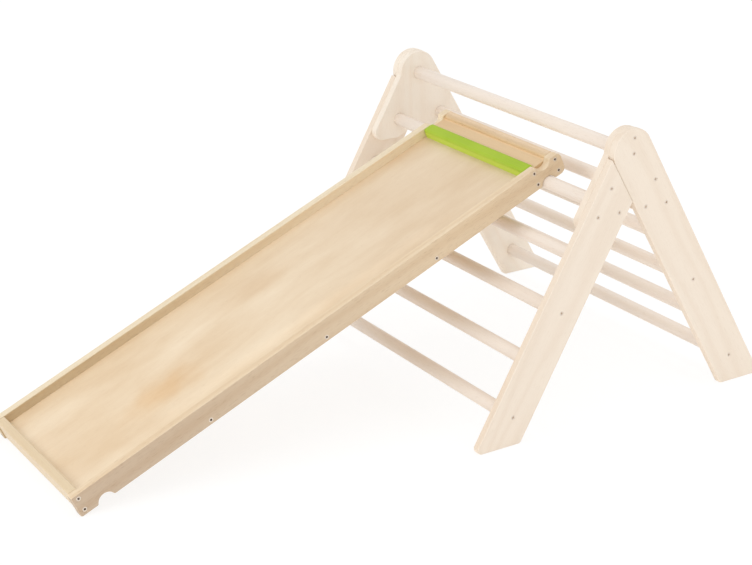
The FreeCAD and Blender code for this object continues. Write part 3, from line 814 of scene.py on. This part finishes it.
head_radius = sums(screws, "DIVIDE", given["Head diameter"], 2.0)
thread_radius = sums(screws, "DIVIDE", given["Thread diameter"], 2.0)
core_radius = sums(screws, "MULTIPLY", thread_radius, core_share)
cone = add(screws, "GeometryNodeMeshCone",
           {"Vertices": head_sides, "Radius Top": head_radius, "Radius Bottom": core_radius,
            "Depth": given["Head depth"]}).outputs["Mesh"]
cut = add(screws, "GeometryNodeMeshBoolean", {0: moved(cone, minus(given["Head depth"]))},
          operation="DIFFERENCE", solver="EXACT")
cross_height = sums(screws, "MULTIPLY", given["Cross depth"], 2.0)
for long_way, short_way in ((0, 1), (1, 0)):
    size = add(screws, "ShaderNodeCombineXYZ",
               {long_way: given["Cross length"], short_way: given["Cross width"], 2: cross_height}).outputs[0]
    cross_bar = add(screws, "GeometryNodeMeshCube", {"Size": size}).outputs["Mesh"]
    screws.links.new(cross_bar, cut.inputs[1])
print("a head with its cross:", len(screws.nodes), "nodes")

# %% Core, tip and thread
core_sides, steps_per_turn, ridge_sides = 12, 10, 3
core_length = sums(screws, "SUBTRACT", given["Length"], given["Head depth"])
core_length = sums(screws, "SUBTRACT", core_length, given["Tip"])
core = add(screws, "GeometryNodeMeshCylinder",
           {"Vertices": core_sides, "Radius": core_radius, "Depth": core_length}).outputs["Mesh"]
core_middle = sums(screws, "MULTIPLY_ADD", core_length, -0.5, minus(given["Head depth"]))
point = add(screws, "GeometryNodeMeshCone",
            {"Vertices": core_sides, "Radius Top": core_radius, "Radius Bottom": 0.0,
             "Depth": given["Tip"]}).outputs["Mesh"]
turns = sums(screws, "DIVIDE", core_length, given["Thread pitch"])
spiral = add(screws, "GeometryNodeCurveSpiral",
             {"Resolution": steps_per_turn, "Rotations": turns, "Start Radius": core_radius,
              "End Radius": core_radius, "Height": core_length}).outputs[0]
ridge = add(screws, "GeometryNodeCurvePrimitiveCircle",
            {"Resolution": ridge_sides, "Radius": sums(screws, "SUBTRACT", thread_radius, core_radius)},
            mode="RADIUS").outputs[0]
thread = add(screws, "GeometryNodeCurveToMesh",
             {"Curve": spiral, "Profile Curve": ridge, "Fill Caps": True}).outputs[0]
tip_height = minus(given["Length"])
joined = add(screws, "GeometryNodeJoinGeometry")
for part in (cut.outputs["Mesh"], moved(core, core_middle), moved(point, tip_height),
             moved(thread, sums(screws, "ADD", tip_height, given["Tip"]))):
    screws.links.new(part, joined.inputs[0])
print("a whole screw:", len(screws.nodes), "nodes")

# %% A screw on each point
flat = add(screws, "GeometryNodeSetShadeSmooth", {0: joined.outputs[0], "Shade Smooth": False}).outputs[0]
placed = add(screws, "GeometryNodeStoreNamedAttribute",
             {"Geometry": flat, "Name": "screw_place",
              "Value": add(screws, "GeometryNodeInputPosition").outputs[0]},
             data_type="FLOAT_VECTOR", domain="POINT").outputs[0]
outward = add(screws, "GeometryNodeInputNamedAttribute", {"Name": "outward"},
              data_type="FLOAT_VECTOR").outputs[0]
facing = add(screws, "FunctionNodeAlignRotationToVector", {"Vector": outward}, axis="Z").outputs[0]
luck = add(screws, "FunctionNodeRandomValue", {2: 0.0, 3: math.tau, "Seed": given["Seed"]},
           data_type="FLOAT").outputs[1]
spin = add(screws, "FunctionNodeAxisAngleToRotation", {"Axis": (0, 0, 1), "Angle": luck}).outputs[0]
turned = add(screws, "FunctionNodeRotateRotation", {"Rotation": facing, "Rotate By": spin},
             rotation_space="LOCAL").outputs[0]
copies = add(screws, "GeometryNodeInstanceOnPoints",
             {"Points": given["Points"], "Instance": placed, "Rotation": turned}).outputs[0]
whole = add(screws, "GeometryNodeRealizeInstances", {0: copies}).outputs[0]
dressed = add(screws, "GeometryNodeSetMaterial", {"Geometry": whole, "Material": given["Steel"]}).outputs[0]
screws.links.new(dressed, made.inputs["Screws"])
print("screws on points:", len(screws.nodes), "nodes")

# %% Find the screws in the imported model
head_spread = 0.011


def screw_heads(node):
    """Middle of each head of a group, its outward direction, and the screws' length."""
    corners = [v.co for v in nodes[node].data.vertices]
    side = 1.0 if corners[0].y > 0 else -1.0
    clusters = []
    for corner in corners:
        for cluster in clusters:
            if math.hypot(cluster[0].x - corner.x, cluster[0].z - corner.z) < head_spread:
                cluster.append(corner)
                break
        else:
            clusters.append([corner])
    heads, deep = [], 0.0
    for cluster in clusters:
        low = Vector(min(c[i] for c in cluster) for i in range(3))
        high = Vector(max(c[i] for c in cluster) for i in range(3))
        heads.append(((low.x + high.x) / 2, high.y if side > 0 else low.y, (low.z + high.z) / 2))
        deep = max(deep, high.y - low.y)
    return heads, [(0.0, side, 0.0)] * len(heads), deep


print("near gusset screws:", len(screw_heads("near_gusset_screws")[0]))

# %% Set the screws
for name, body, metal in (("gusset_screws", "ladder", ladder_steel), ("rung_screws", "ladder", ladder_steel),
                          ("bar_screws", "slide", slide_steel), ("batten_screws", "slide", slide_steel)):
    groups = ["near_" + name, "far_" + name]
    found = [screw_heads(g) for g in groups]
    heads = [h for f in found for h in f[0]]
    ways = [w for f in found for w in f[1]]
    piece = from_points(name, screws, heads, {"outward": ("FLOAT_VECTOR", ways)},
                        {"Length": found[0][2], "Steel": metal})
    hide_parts(*groups)
    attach(piece, body)

# %% [markdown]
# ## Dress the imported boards
# The boards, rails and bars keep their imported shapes, so nothing is moved or remodelled. Each only
# changes the material in its slots. A list from finish to pieces makes it plain which board gets which
# grain direction.

# %% Give each board its finish
finishes = {front_leg_ply: ["near_front_leg", "far_front_leg"], rear_leg_ply: ["near_rear_leg"],
            far_rear_leg_ply: ["far_rear_leg"], gusset_ply: ["near_gusset"], far_gusset_ply: ["far_gusset"],
            near_rail_beech: ["near_rail"], far_rail_beech: ["far_rail"], low_bar_beech: ["low_bar"],
            top_bar_beech: ["top_bar"], batten_beech: ["under_batten_1", "under_batten_2", "under_batten_3"],
            floor_ply: ["slide_floor"], head_ply: ["head_panel"], lime_paint: ["green_bar"]}
for material, boards in finishes.items():
    for board in boards:
        for slot in nodes[board].material_slots:
            slot.material = material
    print(material.name, "on", ", ".join(boards))
